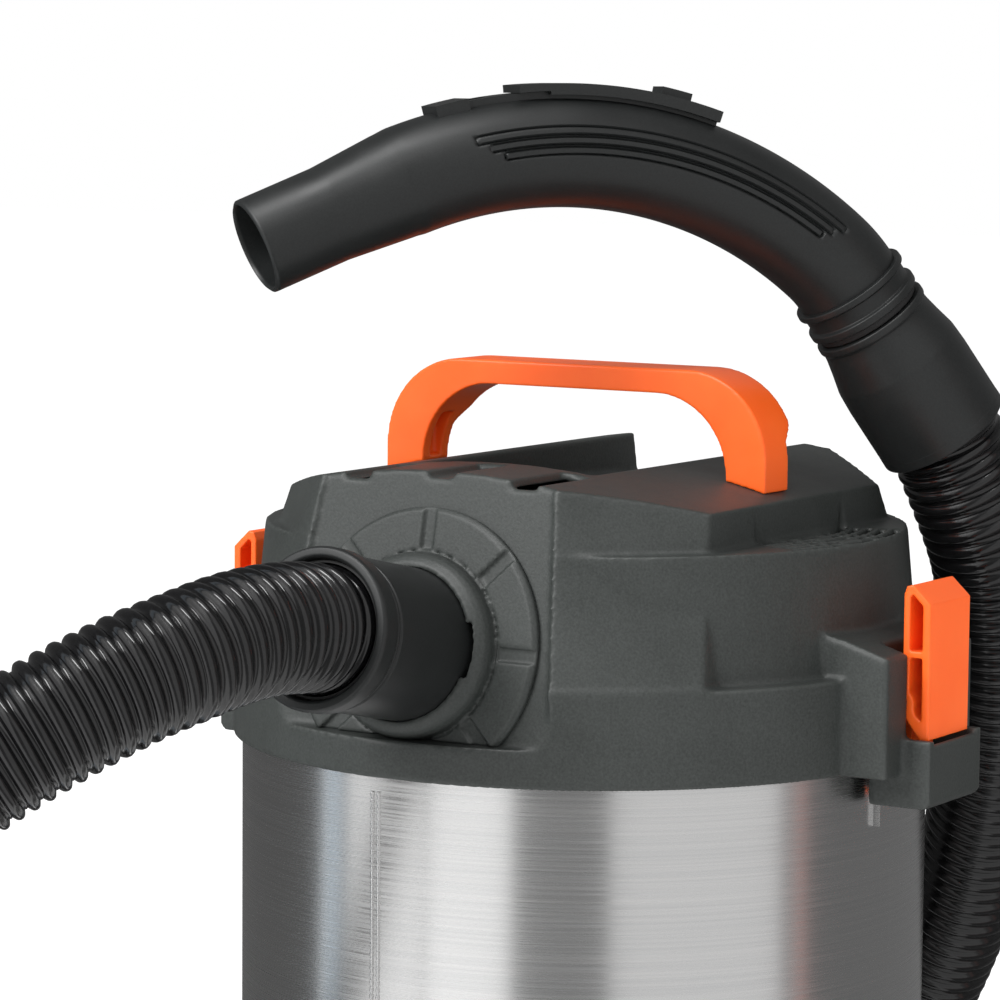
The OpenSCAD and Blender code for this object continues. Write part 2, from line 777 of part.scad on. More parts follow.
// Sweeps a profile round a centre in the wand's plane, from angle a0 to a1 past the crest.
// The profile's X is the distance from the centre, its Y the height above the plane.
module wand_arc(c, a0, a1) {
    at_wand() translate([c.x, 0, c.y]) rotate([90, 0, 0]) rotate([0, 0, 90 - a1])
        rotate_extrude(angle = a1 - a0) children();
}

// Puts its children at the start of the straight tip, with +Z out of it
module at_tip() {
    at_wand() translate([tip_start.x, 0, tip_start.y]) rotate([0, -90 - tip_sweep, 0]) children();
}

// Cross-section of the grip's tube, narrowed by t
module wand_profile(t) {
    difference() {
        circle(r = wand_d / 2 - t);
        circle(r = wand_d / 2 - bore_wall - t);
    }
}

module wand_grip() {
    r = wand_d / 2;
    t = tip_d / 2;
    color("black") difference() {
        union() {
            wand_arc(grip_c, -tip_sweep, grip_sweep) translate([grip_r, 0]) wand_profile(0);
            wand_arc(end_c, grip_sweep, end_sweep) translate([end_r, 0]) wand_profile(0.3);
            at_tip() rotate_extrude() polygon([[r - bore_wall - 0.4, 0], [r - 0.4, 0],
                [t, tip_len - tip_straight], [t, tip_len], [t - bore_wall, tip_len],
                [t - bore_wall, tip_len - tip_straight]]);
            at_wand_end() rotate_extrude() polygon([[swivel_bore, -0.1], [r + 2.3, -0.1],
                [r + 2.3, 2.5], [r + 0.6, 3], [r + 0.6, 8.5], [r + 2.3, 9],
                [r + 2.3, wand_end_s], [swivel_bore, wand_end_s]]);
            for (s = [-1, 1]) for (off = rib_levels) wand_arc(grip_c, -14, 34)
                translate([grip_r + off, s > 0 ? 16.5 : -16.5 - rib_out(off)])
                    square([2.4, rib_out(off)]);
        }
        wand_arc(grip_c, -10.5, -8) translate([grip_r + 10, -3]) square([20, 6]);
    }
}

module swivel_ring() {
    color("dimgray") at_wand_end() translate([0, 0, wand_end_s + 0.3])
        ring(wand_d / 2 + 0.4, neck_r + 0.05, wand_cuff_s - wand_end_s - 0.6);
}

module wand_cuff() {
    r = wand_cuff_r;
    color("black") at_wand_end() rotate_extrude() polygon([[16, 0.5], [neck_r, 0.5],
        [neck_r, wand_cuff_s], [22.5, wand_cuff_s], [22.5, wand_cuff_s + 3],
        [21.6, wand_cuff_s + 4], [22.4, wand_cuff_s + 8], [r, wand_cuff_s + 22],
        [r, wand_cuff_end_s - 1], [r - 1, wand_cuff_end_s], [hose_d / 2 + 1.1, wand_cuff_end_s],
        [hose_d / 2 + 0.9, wand_socket_s - 0.1], [19.5, wand_socket_s - 0.1],
        [16, wand_cuff_s + 12]]);
}

// Part of the crest's cross-section above the grip, w wide and h high
module crest_profile(w, h) {
    difference() {
        translate([grip_r, -w / 2]) square([wand_d / 2 + h, w]);
        translate([grip_r, 0]) circle(r = wand_d / 2 + 0.02);
    }
}

// Track on the crest of the grip, with a stop at its far end
module slider_rail() {
    color("black") difference() {
        union() {
            wand_arc(grip_c, -11.55, 18.6) crest_profile(12, 1.6);
            wand_arc(grip_c, -15.4, -11.5) crest_profile(16, 2.6);
        }
        wand_arc(grip_c, -11, -9) translate([grip_r + 10, -3]) square([20, 6]);
    }
}

// Sliding cover with a thumb nub, riding on the track
module air_slider() {
    r = grip_r + wand_d / 2;
    color("black") {
        wand_arc(grip_c, -5.6, 18.6) translate([r + 1.8, -9]) square([2.8, 18]);
        for (y = [-9, 6.3]) wand_arc(grip_c, -2, 18.6) translate([r + 0.5, y])
            square([2, 2.7]);
        wand_arc(grip_c, 11.5, 15) translate([r + 4, -5]) square([3.6, 10]);
    }
}

tank_shell();
tank_floor();
latch_catches();
base_ring();
base_screws();
caster_fork(0);  // caster_fork_fl
caster_fork(1);  // caster_fork_fr
caster_fork(2);  // caster_fork_rl
caster_fork(3);  // caster_fork_rr
caster_axle(0);  // caster_axle_fl
caster_axle(1);  // caster_axle_fr
caster_axle(2);  // caster_axle_rl
caster_axle(3);  // caster_axle_rr
caster_wheel(0);  // caster_wheel_fl
caster_wheel(1);  // caster_wheel_fr
caster_wheel(2);  // caster_wheel_rl
caster_wheel(3);  // caster_wheel_rr
upper_housing();
motor_base();
housing_screws();
tank_seal();
carry_handle();
handle_screws();
port(false);  // blower_port
port(true);  // suction_port
blow_duct();
suction_duct();
cord_gland();
switch_frame();
switch_rocker();
mirror([1, 0, 0]) latch_lever();  // latch_lever_left
latch_lever();  // latch_lever_right
mirror([1, 0, 0]) latch_pin();  // latch_pin_left
latch_pin();  // latch_pin_right
mirror([1, 0, 0]) latch_spring();  // latch_spring_left
latch_spring();  // latch_spring_right
fan_casing();
impeller();
motor_shaft();
cooling_fan();
motor_stator();
motor_cover();
motor_mount_lower();
motor_mount_upper();
brush_holders();
noise_capacitor();
float_cage();
float_ball();
filter_sleeve();
filter_band();
cuff_sleeve();
cuff_insert();
hose();
wand_cuff();
swivel_ring();
wand_grip();
slider_rail();
air_slider();
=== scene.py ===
"""Shop vacuum: looks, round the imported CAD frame. Metres, +Z up, front is -Y."""
import json
import math

import bmesh
import bpy
from mathutils import Matrix, Vector


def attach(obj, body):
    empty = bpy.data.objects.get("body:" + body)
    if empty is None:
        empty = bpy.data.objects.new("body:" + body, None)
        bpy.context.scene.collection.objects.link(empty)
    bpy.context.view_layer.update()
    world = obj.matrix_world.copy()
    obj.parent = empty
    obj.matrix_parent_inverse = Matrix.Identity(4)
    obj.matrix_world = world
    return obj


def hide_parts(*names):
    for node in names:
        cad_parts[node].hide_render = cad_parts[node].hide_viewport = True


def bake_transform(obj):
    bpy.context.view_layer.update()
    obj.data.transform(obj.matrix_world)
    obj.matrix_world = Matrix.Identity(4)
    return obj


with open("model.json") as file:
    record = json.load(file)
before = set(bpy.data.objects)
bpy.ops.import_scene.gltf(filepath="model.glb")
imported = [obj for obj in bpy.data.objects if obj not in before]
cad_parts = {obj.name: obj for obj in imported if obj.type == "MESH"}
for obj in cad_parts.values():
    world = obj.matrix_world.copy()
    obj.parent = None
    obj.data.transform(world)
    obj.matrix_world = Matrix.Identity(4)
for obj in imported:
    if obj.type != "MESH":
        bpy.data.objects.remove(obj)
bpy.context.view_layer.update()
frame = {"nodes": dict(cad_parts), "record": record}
MM = 0.001

# ---------------------------------------------------------------- camera

CAMERA_AZIMUTH = 32.0
CAMERA_PITCH = 6.0
CAMERA_ROLL = 0.5
CAMERA_LENS = 140.24
CAMERA_POS = Vector((0.7424, -1.2493, 0.5227))


def make_camera():
    data = bpy.data.cameras.new("photo_camera")
    camera = bpy.data.objects.new("photo_camera", data)
    bpy.context.collection.objects.link(camera)
    data.lens = CAMERA_LENS
    data.sensor_width = 36.0
    data.clip_start, data.clip_end = 0.05, 60.0
    camera.location = CAMERA_POS
    turn = (Matrix.Rotation(math.radians(CAMERA_AZIMUTH), 4, "Z")
            @ Matrix.Rotation(math.radians(90 - CAMERA_PITCH), 4, "X")
            @ Matrix.Rotation(math.radians(CAMERA_ROLL), 4, "Z"))
    camera.rotation_euler = turn.to_euler()
    bpy.context.scene.camera = camera


make_camera()

# ---------------------------------------------------------------- materials


class Nodes:
    """A material's node tree with short calls for what the surfaces share."""

    def __init__(self, name):
        self.material = bpy.data.materials.new(name)
        self.material.use_nodes = True
        self.tree = self.material.node_tree
        self.shader = self.tree.nodes["Principled BSDF"]

    def add(self, kind, **values):
        node = self.tree.nodes.new(kind)
        for key, value in values.items():
            if hasattr(node, key):
                setattr(node, key, value)
            else:
                node.inputs[key.replace("_", " ")].default_value = value
        return node

    def link(self, source, target):
        self.tree.links.new(source, target)

    def set(self, **values):
        for key, value in values.items():
            self.shader.inputs[key.replace("_", " ")].default_value = value

    def position(self):
        return self.add("ShaderNodeTexCoord").outputs["Object"]

    def noise(self, scale, detail=3.0, where=None, roughness=0.5):
        node = self.add("ShaderNodeTexNoise", Scale=scale, Detail=detail, Roughness=roughness)
        self.link(where or self.position(), node.inputs["Vector"])
        return node.outputs["Fac"]

    def ramp(self, value, low, high, start=0.0, end=1.0):
        node = self.add("ShaderNodeMapRange")
        self.link(value, node.inputs["Value"])
        for key, number in (("From Min", start), ("From Max", end),
                            ("To Min", low), ("To Max", high)):
            node.inputs[key].default_value = number
        return node.outputs["Result"]

    def math(self, kind, a, b=None):
        node = self.add("ShaderNodeMath", operation=kind)
        for socket, value in zip(node.inputs, (a, b)):
            if hasattr(value, "links"):
                self.link(value, socket)
            elif value is not None:
                socket.default_value = value
        return node.outputs["Value"]

    def tint(self, fac, dark, light, start=0.3, end=0.7):
        node = self.add("ShaderNodeValToRGB")
        node.color_ramp.elements[0].color = (*dark, 1)
        node.color_ramp.elements[1].color = (*light, 1)
        node.color_ramp.elements[0].position = start
        node.color_ramp.elements[1].position = end
        self.link(fac, node.inputs["Fac"])
        return node.outputs["Color"]

    def bump(self, *heights):
        """Bumps in turn, each (height, strength, distance in metres)."""
        last = None
        for height, strength, distance in heights:
            node = self.add("ShaderNodeBump", Strength=strength, Distance=distance)
            self.link(height, node.inputs["Height"])
            if last:
                self.link(last, node.inputs["Normal"])
            last = node.outputs["Normal"]
        self.link(last, self.shader.inputs["Normal"])

    def drive(self, socket, name):
        self.link(socket, self.shader.inputs[name])


def grained_plastic(name, dark, light, rough, grain=1500.0, strength=0.25, edge_highlight=None,
                    specular=0.36):
    """Moulded plastic: a fine grain that also speckles its colour, slight mottling, and, given
    a colour, a painted highlight mixed onto convex edges.
    """
    n = Nodes(name)
    fine = n.noise(grain, 2.0)
    broad = n.noise(35.0, 4.0)
    speckle = n.math("ADD", n.math("MULTIPLY", fine, 0.7), n.math("MULTIPLY", broad, 0.3))
    colour = n.tint(speckle, dark, light)
    # painted highlight: convex edges, found by pointiness, are mixed towards a lighter colour
    # that stands in for light caught on them
    if edge_highlight:
        edge = n.add("ShaderNodeNewGeometry").outputs["Pointiness"]
        mix = n.add("ShaderNodeMix", data_type="RGBA")
        n.link(n.ramp(edge, 0.0, 0.5, 0.52, 0.6), mix.inputs["Factor"])
        n.link(colour, mix.inputs[6])
        mix.inputs[7].default_value = (*edge_highlight, 1)
        colour = mix.outputs[2]
    n.drive(colour, "Base Color")
    n.drive(n.ramp(broad, rough - 0.05, rough + 0.06, 0.3, 0.7), "Roughness")
    n.set(Specular_IOR_Level=specular)
    n.bump((fine, strength, 0.0001))
    return n.material


def brushed_steel():
    """Stainless sheet brushed round the tank: fine level lines, faint streaks."""
    n = Nodes("brushed_steel")
    split = n.add("ShaderNodeSeparateXYZ")
    n.link(n.position(), split.inputs["Vector"])
    angle = n.math("ARCTAN2", split.outputs["Y"], split.outputs["X"])
    lines = n.add("ShaderNodeCombineXYZ")
    n.link(n.math("MULTIPLY", angle, 1.6), lines.inputs["X"])
    n.link(n.math("MULTIPLY", split.outputs["Z"], 1700.0), lines.inputs["Y"])
    fine = n.noise(1.0, 4.0, lines.outputs["Vector"])
    broad = n.add("ShaderNodeCombineXYZ")
    n.link(n.math("MULTIPLY", angle, 0.5), broad.inputs["X"])
    n.link(n.math("MULTIPLY", split.outputs["Z"], 900.0), broad.inputs["Y"])
    streak = n.noise(1.0, 3.0, broad.outputs["Vector"])
    n.drive(n.tint(streak, (0.63, 0.63, 0.63), (0.70, 0.695, 0.69)), "Base Color")
    n.drive(n.ramp(fine, 0.2, 0.34, 0.3, 0.7), "Roughness")
    n.set(Metallic=1.0, Anisotropic=0.7, Anisotropic_Rotation=0.25)
    n.bump((fine, 0.10, 0.00004))
    return n.material


def plain_metal(name, colour, rough):
    n = Nodes(name)
    n.drive(n.tint(n.noise(160.0), tuple(0.85 * c for c in colour), colour), "Base Color")
    n.set(Metallic=1.0)
    n.drive(n.ramp(n.noise(420.0), rough - 0.06, rough + 0.08), "Roughness")
    return n.material


def orange_plastic():
    n = Nodes("orange_plastic")
    broad = n.noise(40.0, 3.0)
    n.drive(n.tint(broad, (0.93, 0.118, 0.012), (0.98, 0.14, 0.017)), "Base Color")
    n.drive(n.ramp(broad, 0.3, 0.4, 0.3, 0.7), "Roughness")
    n.set(Subsurface_Weight=0.12, Subsurface_Scale=0.003, Specular_IOR_Level=0.3)
    n.shader.inputs["Subsurface Radius"].default_value = (1.0, 0.35, 0.1)
    n.bump((n.noise(900.0, 2.0), 0.06, 0.0001))
    return n.material


def foam():
    n = Nodes("filter_foam")
    pores = n.add("ShaderNodeTexVoronoi", Scale=420.0)
    n.link(n.position(), pores.inputs["Vector"])
    n.drive(n.tint(pores.outputs["Distance"], (0.02, 0.03, 0.04), (0.12, 0.15, 0.19),
                   0.1, 0.6),
            "Base Color")
    n.set(Roughness=0.95)
    n.bump((pores.outputs["Distance"], 0.8, 0.001))
    return n.material


# the housing's last, lighter colour is a painted highlight on its convex edges
HOUSING = grained_plastic("housing_plastic", (0.024, 0.0275, 0.0255), (0.043, 0.048, 0.0455),
                          0.5, grain=1150.0, strength=0.5, edge_highlight=(0.085, 0.092, 0.087))
BASE = grained_plastic("base_plastic", (0.03, 0.031, 0.031), (0.037, 0.038, 0.038), 0.55)
BLACK = grained_plastic("satin_black", (0.0095, 0.0105, 0.0105), (0.016, 0.0175, 0.0175), 0.38,
                        strength=0.15)
HOSE = grained_plastic("hose_gloss", (0.003, 0.003, 0.0032), (0.006, 0.006, 0.0065), 0.13,
                       grain=700.0, strength=0.03, specular=0.55)
RUBBER = grained_plastic("rubber", (0.014, 0.014, 0.014), (0.022, 0.022, 0.022), 0.7)
STEEL = brushed_steel()
SCREW = plain_metal("screw_steel", (0.72, 0.72, 0.72), 0.28)
ALLOY = plain_metal("cast_alloy", (0.66, 0.66, 0.68), 0.4)
MOTOR = plain_metal("motor_steel", (0.30, 0.33, 0.36), 0.45)
BRASS = plain_metal("brass", (0.75, 0.52, 0.2), 0.32)
ORANGE = orange_plastic()
FOAM = foam()
FLOAT = grained_plastic("float_plastic", (0.62, 0.2, 0.03), (0.7, 0.24, 0.04), 0.45)
YELLOW = grained_plastic("capacitor_plastic", (0.55, 0.36, 0.04), (0.62, 0.42, 0.06), 0.4)
RED = grained_plastic("rocker_plastic", (0.42, 0.01, 0.008), (0.5, 0.014, 0.01), 0.25,
                      strength=0.05)

SLOT_MATERIALS = {
    "steel": STEEL, "hardware": SCREW, "housing": HOUSING, "base": BASE,
    "grip_orange": ORANGE, "hose_black": HOSE, "black_plastic": BLACK, "tyre": RUBBER,
    "seal": RUBBER, "motor_steel": MOTOR, "fan_alloy": ALLOY, "brass": BRASS,
    "capacitor": YELLOW, "foam": FOAM, "float": FLOAT, "rocker": RED}


def dress_cad_nodes():
    for part in frame["record"]["subparts"]:
        node = frame["nodes"][part["node"]]
        for slot in node.material_slots:
            slot.material = SLOT_MATERIALS[part["material_slot"]]
        if not node.material_slots:
            node.data.materials.append(SLOT_MATERIALS[part["material_slot"]])


dress_cad_nodes()

# ---------------------------------------------------------------- hose

PORT_TILT = math.radians(12)
PORT_CENTRE = Vector((0, -114, 328)) * MM
PORT_AXIS = Vector((0, -math.cos(PORT_TILT), math.sin(PORT_TILT)))
WAND_TURN = math.radians(52)
WAND_ORIGIN = Vector((20, -34, 0)) * MM
WAND_ACROSS = Vector((math.cos(WAND_TURN), math.sin(WAND_TURN), 0))
GRIP_CENTRE = Vector((-12, 336)) * MM
GRIP_R = 0.165
END_CENTRE_R = 0.055
TIP_SWEEP, GRIP_SWEEP, END_SWEEP = (math.radians(a) for a in (22.6, 40, 54))
HOSE_D = 0.045
HOSE_SOCKET, WAND_SOCKET = 0.051, 0.052
HOSE_PITCH = 0.006
HOSE_RIDGE = 0.0024     # height of a ridge above the valley


def wand_point(u, w, side=0.0):
    """A point of the wand's plane, u across and w up, moved sideways out of it."""
    out = Vector((WAND_ACROSS.y, -WAND_ACROSS.x, 0))
    return WAND_ORIGIN + WAND_ACROSS * u + Vector((0, 0, w)) + out * side


def port_point(s):
    return PORT_CENTRE + PORT_AXIS * s


def wand_end():
    """Where the wand's straight end starts, in its plane."""
    step = GRIP_R - END_CENTRE_R
    return (GRIP_CENTRE.x + step * math.sin(GRIP_SWEEP) + END_CENTRE_R * math.sin(END_SWEEP),
            GRIP_CENTRE.y + step * math.cos(GRIP_SWEEP) + END_CENTRE_R * math.cos(END_SWEEP))


def wand_axis(s):
    u, w = wand_end()
    return wand_point(u + s * math.cos(END_SWEEP), w - s * math.sin(END_SWEEP))


HOSE_ROUTE = [
    port_point(HOSE_SOCKET), port_point(HOSE_SOCKET + 0.009),
    port_point(HOSE_SOCKET + 0.018),
    *(Vector(p) * MM for p in (
        (-1, -200, 344), (-5, -219, 342.5), (-11, -238, 338), (-21, -257, 331),
        (-37, -280, 318), (-59, -302, 299), (-88, -321, 272), (-121, -330, 243),
        (-156, -330, 212), (-190, -320, 180), (-222, -300, 149), (-250, -269, 119),
        (-270, -230, 92), (-283, -187, 68), (-288, -141, 48), (-288, -94, 34),
        (-285, -46, 25.5), (-279, 2, 22.5), (-268, 50, 22.5), (-249, 96, 22.5),
        (-220, 137, 22.5), (-182, 168, 22.5), (-140, 189, 25), (-96, 203, 36),
        (-54, 208, 55), (-15, 206, 81), (20, 200, 113), (49, 190, 149), (71, 177, 187),
        (88, 162, 226), (102, 145, 264), (111, 128, 302), (115.5, 111, 338),
        (116, 97, 361))),
    wand_axis(WAND_SOCKET + 0.018), wand_axis(WAND_SOCKET + 0.009),
    wand_axis(WAND_SOCKET)]


def smooth_route(points, steps):
    """The Catmull-Rom curve through the points, as the CAD's hose follows it."""
    out = []
    for i in range(len(points) - 1):
        a, b = points[max(i - 1, 0)], points[i]
        c, d = points[i + 1], points[min(i + 2, len(points) - 1)]
        for k in range(steps):
            t = k / steps
            out.append(0.5 * (2 * b + (c - a) * t + (2 * a - 5 * b + 4 * c - d) * t * t
                              + (3 * b - a - 3 * c + d) * t * t * t))
    return out + [points[-1]]


def even_steps(points, step):
    """The same line resampled so that its points stand about step apart."""
    runs = [(b - a).length for a, b in zip(points, points[1:])]
    total = sum(runs)
    count = round(total / step)
    out, i, gone = [], 0, 0.0
    for k in range(count + 1):
        want = total * k / count
        while i < len(runs) - 1 and gone + runs[i] < want:
            gone += runs[i]
            i += 1
        out.append(points[i].lerp(points[i + 1], min((want - gone) / runs[i], 1.0)))
    return out, total


RIDGE_HALF = 0.37       # half a ridge's width, as a share of the pitch


def hose_profile(turns):
    """Height above the valley, 0 to 1, at a place along the corrugation: one round
    ridge to a turn, and a small rib in the valley."""
    x = abs((turns + 0.5) % 1.0 - 0.5)
    if x < RIDGE_HALF:
        return math.sqrt(1 - (x / RIDGE_HALF) ** 2)
    return 0.16 * max(0.0, 1 - ((0.5 - x) / 0.11) ** 2)


def swept_tube(name, path, radius_at, sides, material, inner=None, normal=(1, 0, 0)):
    """A closed tube along path, without twist; radius_at takes (point index, turn 0..1).
    With inner, a second such function, the tube is open at both ends."""
    mesh = bpy.data.meshes.new(name)
    verts, faces = [], []
    normal = Vector(normal)
    skins = [radius_at] + ([inner] if inner else [])
    frames = []
    for i, centre in enumerate(path):
        along = (path[min(i + 1, len(path) - 1)] - path[max(i - 1, 0)]).normalized()
        normal = (normal - along * normal.dot(along)).normalized()
        frames.append((centre, normal, along.cross(normal)))
    for skin in skins:
        for i, (centre, across, side) in enumerate(frames):
            for k in range(sides):
                a = 2 * math.pi * k / sides
                r = skin(i, k / sides)
                verts.append(centre + (across * math.cos(a) + side * math.sin(a)) * r)
    shift = len(path) * sides
    last = (len(path) - 1) * sides
    for number in range(len(skins)):
        for i in range(len(path) - 1):
            for k in range(sides):
                a = number * shift + i * sides + k
                b = number * shift + i * sides + (k + 1) % sides
                quad = (a, b, b + sides, a + sides)
                faces.append(quad if number == 0 else quad[::-1])
    if inner:
        for start in (0, last):
            for k in range(sides):
                a, b = start + k, start + (k + 1) % sides
                quad = (a, a + shift, b + shift, b)
                faces.append(quad if start == 0 else quad[::-1])
    else:
        faces += [tuple(reversed(range(sides))), tuple(range(last, last + sides))]
    mesh.from_pydata(verts, [], faces)
    mesh.materials.append(material)
    mesh.polygons.foreach_set("use_smooth", [True] * len(mesh.polygons))
    obj = bpy.data.objects.new(name, mesh)
    bpy.context.collection.objects.link(obj)
    return obj


def make_hose():
    samples = 12
    path, length = even_steps(smooth_route(HOSE_ROUTE, 16), HOSE_PITCH / samples)
    crest = HOSE_D / 2 - 0.0002

    def radius_at(i, turn):
        return crest - HOSE_RIDGE * (1 - hose_profile(i / samples))

    hose = swept_tube("corrugated_hose", path, radius_at, 44, HOSE)
    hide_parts("hose")
    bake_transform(hose)


make_hose()

# ---------------------------------------------------------------- moulded pieces


def moulded(node, name, voxel, rounds, material, body):
    """A copy of a CAD node with its edges rounded as a moulding's are."""
    source = frame["nodes"][node]
    obj = bpy.data.objects.new(name, source.data.copy())
    bpy.context.collection.objects.link(obj)
    remesh = obj.modifiers.new("remesh", "REMESH")
    remesh.mode = "VOXEL"
    remesh.voxel_size = voxel * 1
    smooth = obj.modifiers.new("smooth", "SMOOTH")
    smooth.iterations, smooth.factor = rounds, 0.5
    done = bpy.data.meshes.new_from_object(
        obj.evaluated_get(bpy.context.evaluated_depsgraph_get()))
    obj.modifiers.clear()
    obj.data = done
    done.materials.clear()
    done.materials.append(material)
    done.polygons.foreach_set("use_smooth", [True] * len(done.polygons))
    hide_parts(node)
    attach(obj, body)


moulded("upper_housing", "head_cowl", 0.0011, 4, HOUSING, "head")
moulded("carry_handle", "carry_handle_grip", 0.0007, 6, ORANGE, "head")
moulded("blower_port", "blower_port_ring", 0.0006, 3, HOUSING, "head")
moulded("suction_port", "suction_port_ring", 0.0006, 3, HOUSING, "head")
for side in ("left", "right"):
    moulded("latch_lever_" + side, "latch_" + side + "_lever", 0.0004, 2, ORANGE,
            "latch_" + side)

# ---------------------------------------------------------------- wand and cuffs


def rounded(points, radius, steps=5):
    """An open outline with each inner corner turned into an arc of about radius."""
    out = [Vector(points[0])]
    for before, corner, after in zip(points, points[1:], points[2:]):
        corner = Vector(corner)
        back, ahead = Vector(before) - corner, Vector(after) - corner
        reach = min(radius, back.length * 0.45, ahead.length * 0.45)
        start, end = corner + back.normalized() * reach, corner + ahead.normalized() * reach
        for k in range(steps + 1):
            t = k / steps
            out.append(start * (1 - t) ** 2 + corner * 2 * t * (1 - t) + end * t * t)
    return out + [Vector(points[-1])]


def lathe(name, outline, origin, axis, material, segments=112):
    """A closed ring round an axis; outline is (radius, distance along the axis) in mm."""
    mesh = bpy.data.meshes.new(name)
    axis = axis.normalized()
    turn = Vector((0, 0, 1)).rotation_difference(axis).to_matrix()
    verts, faces = [], []
    for k in range(segments):
        a = 2 * math.pi * k / segments
        for r, z in outline:
            verts.append(origin + turn @ Vector((r * math.cos(a), r * math.sin(a), z)) * MM)
    n = len(outline)
    for k in range(segments):
        ring, following = k * n, (k + 1) % segments * n
        for i in range(n):
            j = (i + 1) % n
            faces.append((ring + i, following + i, following + j, ring + j))
    mesh.from_pydata(verts, [], faces)
    mesh.materials.append(material)
    obj = bpy.data.objects.new(name, mesh)
    bpy.context.collection.objects.link(obj)
    shade(obj)
    return obj


def shade(obj, angle=35):
    """Smooth shading with creases kept where faces meet at more than angle."""
    bm = bmesh.new()
    bm.from_mesh(obj.data)
    bmesh.ops.recalc_face_normals(bm, faces=bm.faces)
    limit = math.radians(angle)
    for face in bm.faces:
        face.smooth = True
    for edge in bm.edges:
        edge.smooth = len(edge.link_faces) == 2 and edge.calc_face_angle(0) < limit
    bm.to_mesh(obj.data)
    bm.free()


GRIP_RADIUS, TIP_RADIUS, GRIP_WALL = 0.020, 0.0175, 0.002
MOUTH_ROUND = 0.0012
TIP_LENGTH, TIP_STRAIGHT = 0.055, 0.030
RIB_LEVELS = (8.0, 5.6 - 1.2, 0.8)      # middle of each bar above the grip's middle, mm
RIB_HALF = 1.25
BAR_START, BAR_END = 12.5, 37.5         # degrees before and past the crest
BAR_DEPTH = 1.1                         # of the groove round a bar, mm


def grip_path():
    """Points down the grip's middle from the tip's mouth to the collar, with the arc
    angle past the crest at each point and its distance from the mouth."""
    points = []
    start = Vector((GRIP_CENTRE.x - GRIP_R * math.sin(TIP_SWEEP),
                    GRIP_CENTRE.y + GRIP_R * math.cos(TIP_SWEEP)))
    out = Vector((-math.cos(TIP_SWEEP), -math.sin(TIP_SWEEP)))
    step = 0.0008
    count = round(TIP_LENGTH / step)
    for k in range(count):
        d = TIP_LENGTH * (1 - k / count)
        p = start + out * d
        points.append((p, -TIP_SWEEP - d / GRIP_R, TIP_LENGTH - d))
    count = round(GRIP_R * (TIP_SWEEP + GRIP_SWEEP) / step)
    for k in range(count + 1):
        a = -TIP_SWEEP + (TIP_SWEEP + GRIP_SWEEP) * k / count
        p = GRIP_CENTRE + Vector((math.sin(a), math.cos(a))) * GRIP_R
        points.append((p, a, TIP_LENGTH + GRIP_R * (a + TIP_SWEEP)))
    centre = GRIP_CENTRE + Vector((math.sin(GRIP_SWEEP), math.cos(GRIP_SWEEP))) * (
        GRIP_R - END_CENTRE_R)
    count = round(END_CENTRE_R * (END_SWEEP - GRIP_SWEEP) / step)
    for k in range(1, count + 1):
        a = GRIP_SWEEP + (END_SWEEP - GRIP_SWEEP) * k / count
        p = centre + Vector((math.sin(a), math.cos(a))) * END_CENTRE_R
        points.append((p, a, None))
    return points


def soft_step(x, low, high):
    t = min(max((x - low) / (high - low), 0.0), 1.0)
    return t * t * (3 - 2 * t)


def bar_relief(arc, level, side):
    """Depth of the grooves round the three grip bars, at an arc angle in degrees, a
    height above the grip's middle and a distance out of the wand's plane, in mm."""
    if side < 6:
        return 0.0
    deepest = 0.0
    for i, middle in enumerate(RIB_LEVELS):
        across = abs(level - middle)
        low, high = -BAR_START + 1.6 * i, BAR_END - 1.2 * i
        beyond = max(low - arc, arc - high, 0.0) * math.radians(1) * GRIP_R / MM
        away = math.hypot(max(across - 0.4, 0), beyond + 0.9 if beyond else 0.0)
        away = max(across, away)
        groove = soft_step(away, RIB_HALF - 0.25, RIB_HALF + 0.05) * (
            1 - soft_step(away, RIB_HALF + 0.25, RIB_HALF + 0.75))
        deepest = max(deepest, groove)
    return BAR_DEPTH * deepest


def make_grip():
    path = grip_path()
    points = [wand_point(p.x, p.y) for p, _, _ in path]
    sides = 240
    taper_end = TIP_LENGTH - TIP_STRAIGHT

    def outer(i, turn):
        _, arc, run = path[i]
        angle = 2 * math.pi * turn
        if run is None:
            return GRIP_RADIUS
        if run < TIP_LENGTH:
            back = TIP_LENGTH - run
            r = TIP_RADIUS + (GRIP_RADIUS - 0.0005 - TIP_RADIUS) * min(
                1.0, (taper_end - back) / taper_end if back < taper_end else 0.0)
            if run < MOUTH_ROUND:
                r -= MOUTH_ROUND - math.sqrt(MOUTH_ROUND ** 2 - (MOUTH_ROUND - run) ** 2)
            return r
        swell = GRIP_RADIUS - 0.0005 * (1 - soft_step(run, TIP_LENGTH, TIP_LENGTH + 0.006))
        level = -math.sin(angle) * GRIP_RADIUS / MM
        side = abs(math.cos(angle)) * GRIP_RADIUS / MM
        return swell - bar_relief(math.degrees(arc), level, side) * MM

    def inner(i, turn):
        _, _, run = path[i]
        if run is not None and run < TIP_LENGTH:
            r = TIP_RADIUS - GRIP_WALL
            return r + (MOUTH_ROUND * 0.5 if run < 0.0005 else 0)
        return GRIP_RADIUS - GRIP_WALL

    out = Vector((WAND_ACROSS.y, -WAND_ACROSS.x, 0))
    grip = swept_tube("wand_handle", points, outer, sides, BLACK, inner=inner, normal=out)
    shade(grip, 50)
    collar = lathe("wand_collar", rounded([
        (18.07, 0.1), (18.3, 0.0), (22.1, 0.0), (22.3, 2.4), (20.7, 3.1), (20.6, 8.4),
        (22.3, 9.0), (22.3, 11.9), (18.3, 11.9), (18.07, 11.8)], 0.5),
        wand_axis(0), wand_axis(1) - wand_axis(0), BLACK)
    for piece in (grip, collar):
        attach(piece, "wand")
    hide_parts("wand_grip")


